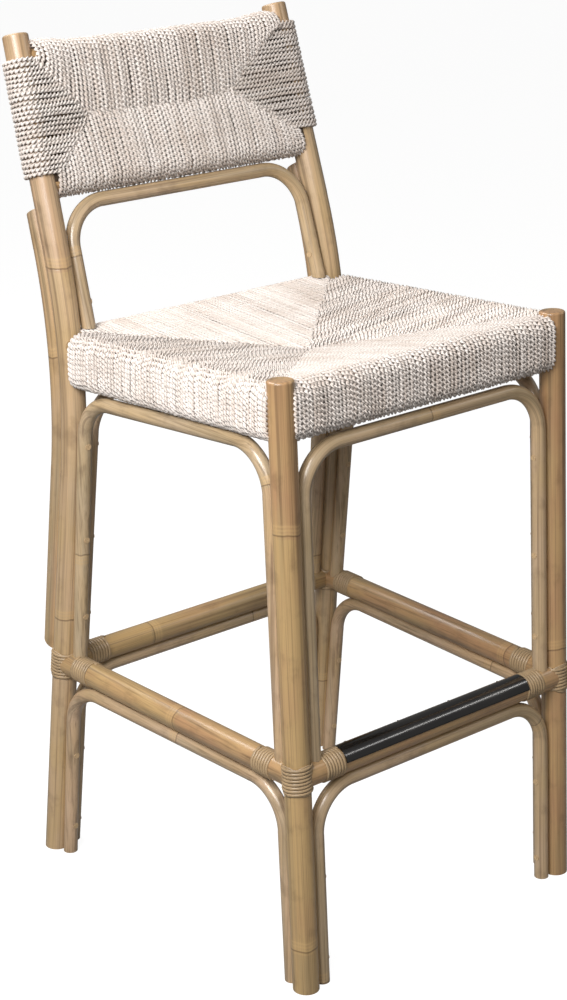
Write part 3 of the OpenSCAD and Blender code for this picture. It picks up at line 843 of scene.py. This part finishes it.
@lru_cache(maxsize=None)
def cord_finish():
    """Off-white twisted cord: each cord has its own tone, and fibres follow its plies. Dark fibre specks and
    a painted shade in the groove between the plies darken it toward the stuffing colour.
    """
    cord = settings("cord")
    f = Finish("twisted_cord")
    tone = f.node("Attribute", {"attribute_name": "tone"}, output="Fac")
    lay = f.node("Attribute", {"attribute_name": "lay"}, output="Vector")
    fibre = f.noise(f.stretched(lay, 900, 900, 160))
    patch = f.noise(f.place(), scale=14)
    fleck = f.noise(f.stretched(lay, 300, 300, 60), detail=1)
    # painted shade: darkest at the notch between the two plies
    groove = 1 - lay.along((1 / LAY_R, 0, 0)).size()
    shade = (tone * 0.42 + (patch - 0.5) * 0.9 + (fleck - 0.5) * 0.9).above(0).below(1)
    # the fibre specks are the cord's own; the groove part is painted shade
    fibre_specks_and_groove_shade = (fibre.eased(0.6, 0.8) * 0.4 + groove.eased(0.4, 1.0) * 0.4).below(1)
    base = f.mix(f.mix(cord.light, cord.dark, shade), cord.core, fibre_specks_and_groove_shade)
    f.set(Base_Color=base, Roughness=0.86, Normal=f.bump(fibre, 0.35, 0.0006))
    f.set(Specular_IOR_Level=0.3, Sheen_Weight=0.15, Sheen_Roughness=0.5)
    return f.material


@lru_cache(maxsize=None)
def shade_core_finish():
    """Painted shade: dark stuffing that is only seen between cords, coloured like the shade there."""
    pale = settings("cord").core
    f = Finish("weave_core_painted_shade")
    grain = f.noise(f.place(), scale=220)
    # darker speckles in the painted shade
    f.set(Base_Color=f.mix(pale, [c * 0.45 for c in pale], grain), Roughness=0.95)
    return f.material


def measured(f, start, *ways):
    """How far a point is from a start, in each way."""
    place = f.place()
    return [place.along(way) - start.dot(way) for way in ways]


def straight_grain(f, start, direction):
    """A straight pole's own coordinates: two across it, and one along it."""
    direction = Vector(direction).normalized()
    helper = Vector((0, 0, 1)) if abs(direction.z) < 0.7 else Vector((1, 0, 0))
    first = direction.cross(helper).normalized()
    return measured(f, start, first, direction.cross(first), direction)


def arched_grain(f, centre, across, up, half, top):
    """The same for an upside-down U: legs at half its width, a straight top and two round bends."""
    s, z, depth = measured(f, centre, across, up, across.cross(up))
    leg, crown = half - THIN_BEND, top - THIN_BEND
    q1, q2 = (s.size() - leg).above(0), (z - crown).above(0)
    square = q1 * q1 + q2 * q2
    bend = pi / 2 - q2.maths("ARCTAN2", q2, q1 + 1e-5)
    run = s.size().below(leg) + bend * THIN_BEND + (crown - z.below(crown))
    return square.maths("SQRT", square) - THIN_BEND, depth, run * s.maths("SIGN", s)


def post_grain(f, side, behind):
    """The same for a post that is straight, bends over a stretch of its height and is straight again."""
    low, high = POST_BEND
    lean, rake = -tan(POST_LEAN), tan(BACK_RAKE)
    curve = (rake - lean) / (high - low) / 2
    x, y, z = measured(f, Vector((0, 0, 0)), *(Vector(way) for way in ((1, 0, 0), (0, 1, 0), (0, 0, 1))))
    base = middle("back_stretcher").y - lean * middle("back_stretcher").z + behind
    past, over = (z - low).above(0), (z - high).above(0)
    axis = z * lean + past * past * curve - over * over * curve + base
    slope = (POST_TIP_X - POST_FOOT_X) / POST_TIP_Z
    return x - (z * (side * slope) + side * POST_FOOT_X), y - axis, z


def cane(name, grain, place, phase, warm, wash, internode=None, fade_and_sheen=0.0):
    """Lacquered cane: fibres and streaks along the pole, a ring at each node, and a new tint past it.
    The grain is a function that gives the pole's own coordinates, from its place."""
    pole = settings("pole")
    f = Finish(name)
    a, b, l = grain(f, *place)
    internode = internode or pole.internode

    def streaks(across, along, **details):
        return f.noise(f.vector(a * across, b * across, l * along), **details)

    count = l / internode + (streaks(60, 2, detail=1) - 0.5) * 0.012 + phase
    step = count.maths("FLOOR", count)
    past = (count - step) * internode
    tint, wash_tint = f.chance(step + phase * 7.3), f.chance(step * 1.7 + phase * 3.1 + 11)
    ring = 1 - (past - 0.004).size().eased(0.0004, 0.0016)
    scar = 1 - (past - 0.011).size().eased(0.004, 0.009)
    waves = past * 1300
    lines = waves.maths("SINE", waves) * 0.5 + 0.5

    fine, streak, band = streaks(950, 9), streaks(240, 2.2), streaks(75, 3.5)
    patch, cloud = streaks(22, 9, detail=3), streaks(40, 26, detail=4, roughness=0.6)

    pinkness = ((tint - 0.5) * 1.0 + (patch - 0.5) * 2.6 + warm * 0.7).above(0).below(1)
    greyness = (band.eased(0.4, 0.7) * (0.2 + wash * 0.7) + (wash_tint - 0.6) * 0.4).above(0).below(1)
    base = f.mix(f.mix(pole.honey, pole.pink, pinkness), pole.grey, greyness)
    # paler patches: partly faded cane, partly a painted sheen on the posts, splints and arches
    if fade_and_sheen:
        base = f.mix(base, pole.faded_and_sheen, (patch - 0.5) * 0.8 + fade_and_sheen)
    base = f.mix(base, pole.deep, (1 - streak.eased(0.3, 0.52)) * 0.42)
    base = f.mix(base, pole.deep, ((1 - fine.eased(0.3, 0.55)) * 0.2 + cloud.eased(0.5, 0.75) * 0.3).below(1))
    base = f.mix(base, [min(1, c * 1.25) for c in pole.honey], scar * (0.12 + lines * 0.25))
    base = f.mix(base, pole.deep, ring * 0.5)
    height = fine * 0.25 + streak * 0.3 + ring * -0.7 + scar * 0.5
    f.set(Base_Color=base, Roughness=0.27 + fine * 0.14 + scar * 0.06, Normal=f.bump(height, 0.45, 0.0005))
    f.set(Specular_IOR_Level=0.5, Coat_Weight=0.45, Coat_Roughness=0.18)
    return f.material


def peel_finish():
    """Split cane: pale, smooth and slightly glossy."""
    pale = settings("binding").pale
    f = Finish("cane_peel")
    grain = f.noise(f.place(), scale=420)
    patch = f.noise(f.place(), scale=60)
    base = f.mix(pale, [c * 0.45 for c in pale], patch.eased(0.4, 0.8) * 0.5 + grain.eased(0.5, 0.75) * 0.3)
    f.set(Base_Color=base, Roughness=0.28 + grain * 0.15, Normal=f.bump(grain, 0.2, 0.0003))
    return f.material


def plug_finish():
    """Pale end-grain wood."""
    f = Finish("plug_wood")
    grain = f.noise(f.place(), scale=900)
    pale, dark = (0.62, 0.44, 0.25), (0.42, 0.27, 0.14)
    f.set(Base_Color=f.mix(pale, dark, grain.eased(0.4, 0.7)), Roughness=0.55)
    return f.material


def steel_finish(name, tone, roughness):
    """Polished or plain steel with fine marks along its length."""
    f = Finish(name)
    marks = f.noise(f.stretched(f.place(), 6, 900, 900))
    smear_and_reflection = f.noise(f.place(), scale=18, detail=3)
    # warm, lighter patches: partly smudges, partly a painted reflection of brown surroundings
    base = f.mix([tone * 0.8] * 3, [tone * 1.15, tone * 1.1, tone * 1.06], smear_and_reflection)
    f.set(Base_Color=base, Roughness=roughness + marks * 0.05 + smear_and_reflection.eased(0.5, 0.8) * 0.06, Metallic=1.0)
    return f.material


def paint(piece, material):
    """Gives an object its only material."""
    piece.data.materials.clear()
    piece.data.materials.append(material)


def wear(nodes, material):
    """Gives CAD nodes their finish."""
    for name in nodes:
        paint(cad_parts[name], material)


def dress(piece, material, slot, *stands_for):
    """Gives a new piece its finish and hides the nodes it stands for."""
    paint(piece, material)
    if stands_for:
        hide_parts(*stands_for)


def straight_finishes():
    """Legs, posts, splints, stretchers and hidden rails."""
    for side, name, phase, warm in ((-1, "left", 0.898, 0.6), (1, "right", 0.4, 0.45)):
        foot = Vector((side * LEG_X, box("front_left_leg")[0].y + POLE_R, 0))
        leg = (foot, leg_lean(True, side))
        wear([f"front_{name}_leg"], cane(
            f"cane_front_{name}", straight_grain, leg, phase, warm, 0.4, 0.53))
        wear([f"back_{name}_post"], cane(
            f"cane_post_{name}", post_grain, (side, 0.0), phase + 0.37, warm, 0.5, fade_and_sheen=0.25))
        wear([f"back_{name}_splint"], cane(
            f"cane_splint_{name}", post_grain, (side, SPLINT_BEHIND), phase + 0.62, warm, 0.8, fade_and_sheen=0.15))
    across = (1, 0, 0)
    for node, way, phase, warm in (
        ("left_stretcher", (0.02, 1, 0), 0.04, 0.8), ("right_stretcher", (-0.02, 1, 0), 0.33, 0.4),
        ("back_stretcher", across, 0.21, 0.5), ("footrest_rail", across, 0.63, 0.6),
    ):
        wear([node], cane(f"cane_{node}", straight_grain, (middle(node), way), phase, warm, 0.5))
    for side in SIDES:
        way = across if side in ("front", "back") else (0, 1, -0.06)
        nodes = [f"seat_{side}_{level}_rail" for level in ("upper", "lower")]
        wear(nodes, cane(f"cane_seat_{side}", straight_grain, (middle(nodes[0]), way), 0.1, 0.4, 0.3))
    nodes = ["backrest_top_rail", "backrest_bottom_rail"]
    wear(nodes, cane("cane_backrest_rails", straight_grain, (middle(nodes[0]), across), 0.5, 0.4, 0.3))


def arch_finishes():
    """Thin bent poles, each with its grain bent along it."""
    leans = {"front": LEG_LEAN, "back": -POST_LEAN, "left": 0.0, "right": 0.0}
    arches = [(f"{side}_{level}_arch", leans[side]) for level in ("upper", "lower") for side in SIDES]
    for number, (node, lean) in enumerate(arches + [("backrest_arch", BACK_RAKE)]):
        low, high = box(node)
        across = Vector((0, 1, 0)) if node.startswith(("left", "right")) else Vector((1, 0, 0))
        up = Vector((0, sin(lean), cos(lean)))
        centre = (low + high) / 2
        centre.y -= up.y / up.z * centre.z
        centre.z = 0
        shape = (centre, across, up, (high - low).dot(across) / 2 - THIN_R, high.z / up.z - THIN_R)
        warm = 0.35 + 0.08 * (number % 4)
        wear([node], cane(f"cane_{node}", arched_grain, shape, number * 0.173, warm, 0.6, 0.62, 0.35))


# ---- operators

class STOOL_OT_seat_weave(Operator):
    """Weave the seat's cords over their rails"""
    bl_idname = "stool.seat_weave"
    bl_label = "Seat weave"

    def execute(self, context):
        under = Rope("seat_underside_cords", steps=5, sides=6, seed=50)
        for seed, name in enumerate(SIDES, 1):
            sector = Sector(name)
            rope = Rope(f"seat_{name}_cords", seed=seed)
            for s, end, gap in sector.stops():
                rope.run(seat_cord_line(sector, s, end, gap), sector.along)
                under.run(under_cord_line(sector, s, end, gap), sector.along)
            dress(rope.build(), cord_finish(), "cord", f"seat_{name}_weave")
        dress(under.build(), cord_finish(), "cord")
        dress(seat_core(), shade_core_finish(), "cord")
        return {"FINISHED"}


class STOOL_OT_back_weave(Operator):
    """Weave the backrest's cords over its rails and posts"""
    bl_idname = "stool.back_weave"
    bl_label = "Backrest weave"

    def execute(self, context):
        spacing = settings("back").spacing
        for seed, name, upper, stands_for in (
            (11, "upper", True, ["backrest_weave"]), (12, "lower", False, []),
        ):
            rope = Rope(f"backrest_{name}_cords", seed=seed)
            reach = PLANE.post(PLANE.height if upper else 0) - POLE_R + 4 * MM
            count = int(2 * reach / spacing)
            gap = 2 * reach / count
            for k in range(count):
                rope.run(upright_line(-reach + (k + 0.5) * gap, upper, gap, reach), (1, 0, 0))
            dress(rope.build(), cord_finish(), "cord", *stands_for)
        for seed, name, side in ((21, "left", -1), (22, "right", 1)):
            rope = Rope(f"backrest_{name}_cords", seed=seed)
            low, high = (corner[1] for corner in back_edges(side)[:2])
            count = int((high - low) / spacing)
            gap = (high - low) / count
            for k in range(count):
                rope.run(around_line(side, low + (k + 0.5) * gap, gap), tuple(PLANE.up))
            dress(rope.build(), cord_finish(), "cord")
        dress(back_shade_core(), shade_core_finish(), "cord")
        return {"FINISHED"}


class STOOL_OT_bindings(Operator):
    """Wind cane peel round the four corners where the stretchers meet the legs"""
    bl_idname = "stool.bindings"
    bl_label = "Bindings"

    def execute(self, context):
        peel = peel_finish()
        for end in ("front", "back"):
            for name, side in ((f"{end}_left", -1), (f"{end}_right", 1)):
                piece = corner_binding(f"{name}_peel", side, end == "front")
                dress(piece, peel, "binding", f"{name}_binding")
        return {"FINISHED"}


class STOOL_OT_finishes(Operator):
    """Give the poles, plugs and metal parts their finishes"""
    bl_idname = "stool.finishes"
    bl_label = "Finishes"

    def execute(self, context):
        straight_finishes()
        arch_finishes()
        wood = ["arch_plugs", "splint_plugs", "seat_dowels", "stretcher_dowels", "backrest_dowels"]
        wear(wood, plug_finish())
        wear(["footrest_guard"], steel_finish("polished_guard", 0.125, 0.14))
        wear(["arch_screws", "splint_screws", "guard_screws"], steel_finish("screw_steel", 0.5, 0.3))
        return {"FINISHED"}


class STOOL_OT_studio(Operator):
    """Make the floor, the lights and the camera"""
    bl_idname = "stool.studio"
    bl_label = "Studio"

    def execute(self, context):
        studio = settings("studio")
        floor_and_world(studio)
        lights(studio)
        camera(studio)
        return {"FINISHED"}


def floor_and_world(studio):
    """A plain pale floor under a plain pale sky."""
    bm = bmesh.new()
    bmesh.ops.create_grid(bm, x_segments=1, y_segments=1, size=12)
    mesh = bpy.data.meshes.new("floor")
    bm.to_mesh(mesh)
    bm.free()
    floor = link("floor", mesh)
    f = Finish("floor_paper")
    seen = f.node("LightPath", output="Is Camera Ray")
    f.set(Base_Color=(0.2, 0.2, 0.198), Roughness=0.9, Specular_IOR_Level=0.1)
    f.set(Emission_Color=f.mix((0.03, 0.03, 0.03), (1.0, 1.0, 1.0), seen), Emission_Strength=0.92)
    floor.data.materials.append(f.material)
    world = bpy.data.worlds.new("studio")
    world.use_nodes = True
    nodes, links = world.node_tree.nodes, world.node_tree.links
    back = nodes["Background"]
    back.inputs["Color"].default_value = (1.0, 0.995, 0.985, 1)
    seen = nodes.new("ShaderNodeLightPath")
    strength = nodes.new("ShaderNodeMix")
    strength.inputs["A"].default_value = studio.sky
    strength.inputs["B"].default_value = studio.paper
    links.new(seen.outputs["Is Camera Ray"], strength.inputs["Factor"])
    links.new(strength.outputs["Result"], back.inputs["Strength"])
    bpy.context.scene.world = world
    bpy.context.scene.view_settings.view_transform = "Standard"


def lights(studio):
    """A large soft key and a fill from the left, a weaker light from above and a strip on the right."""
    for name, spot, aim, width, depth, power in (
        ("key", (-1.9, -0.75, 2.2), (0, 0, 0.6), 1.1, 1.1, studio.key),
        ("top", (-0.4, 1.2, 2.4), (0, 0, 0.7), 1.2, 1.2, studio.key * 0.42),
        ("strip", (1.6, -1.33, 1.9), (0, -0.26, 0.3), 1.5, 0.1, studio.key * 0.05),
        ("fill", (-1.9, -2.0, 2.2), (0, 0, 0.95), 1.0, 1.0, studio.key * 0.3),
    ):
        data = bpy.data.lights.new(name, "AREA")
        data.shape, data.energy, data.size, data.size_y = "RECTANGLE", power, width, depth
        lamp = link(name, data)
        lamp.location = spot
        lamp.rotation_euler = (Vector(aim) - Vector(spot)).to_track_quat("-Z", "Y").to_euler()


def camera(studio):
    """The camera in front and to the left, at chest height."""
    data = bpy.data.cameras.new("view")
    data.lens = studio.lens
    data.sensor_width = 36
    data.shift_x, data.shift_y = -0.0017, 0.0017
    data.clip_end = 60
    view = link("view", data)
    turn, fall, roll = studio.turn, studio.fall, studio.roll
    ahead = Vector((sin(turn) * cos(fall), cos(turn) * cos(fall), -sin(fall)))
    level = Vector((cos(turn), -sin(turn), 0))
    steep = level.cross(ahead)
    right = level * cos(roll) + steep * sin(roll)
    up = steep * cos(roll) - level * sin(roll)
    spot = Matrix.Translation((-1.7757, -2.0629, 1.4958))
    view.matrix_world = spot @ Matrix((right, up, -ahead)).transposed().to_4x4()
    bpy.context.scene.camera = view


class STOOL_PT_panel(Panel):
    """Buttons for each group of pieces"""
    bl_idname = "STOOL_PT_panel"
    bl_label = "Woven bar stool"
    bl_space_type = "VIEW_3D"
    bl_region_type = "UI"
    bl_category = "Stool"

    def draw(self, context):
        for operator in OPERATORS:
            self.layout.operator(operator.bl_idname)


OPERATORS = (
    STOOL_OT_seat_weave, STOOL_OT_back_weave, STOOL_OT_bindings, STOOL_OT_finishes, STOOL_OT_studio,
)
CLASSES = tuple(GROUPS.values()) + OPERATORS + (STOOL_PT_panel,)


def register():
    """Makes the classes known and puts the settings on the scene."""
    for made in CLASSES:
        bpy.utils.register_class(made)
    for name, group in GROUPS.items():
        setattr(bpy.types.Scene, name, PointerProperty(type=group))


def unregister():
    """Takes the settings and the classes away."""
    for name in GROUPS:
        delattr(bpy.types.Scene, name)
    for made in reversed(CLASSES):
        bpy.utils.unregister_class(made)


def main():
    """Builds everything in order."""
    register()
    bpy.ops.stool.seat_weave()
    bpy.ops.stool.back_weave()
    bpy.ops.stool.bindings()
    bpy.ops.stool.finishes()
    bpy.ops.stool.studio()


if __name__ == "__main__":
    main()
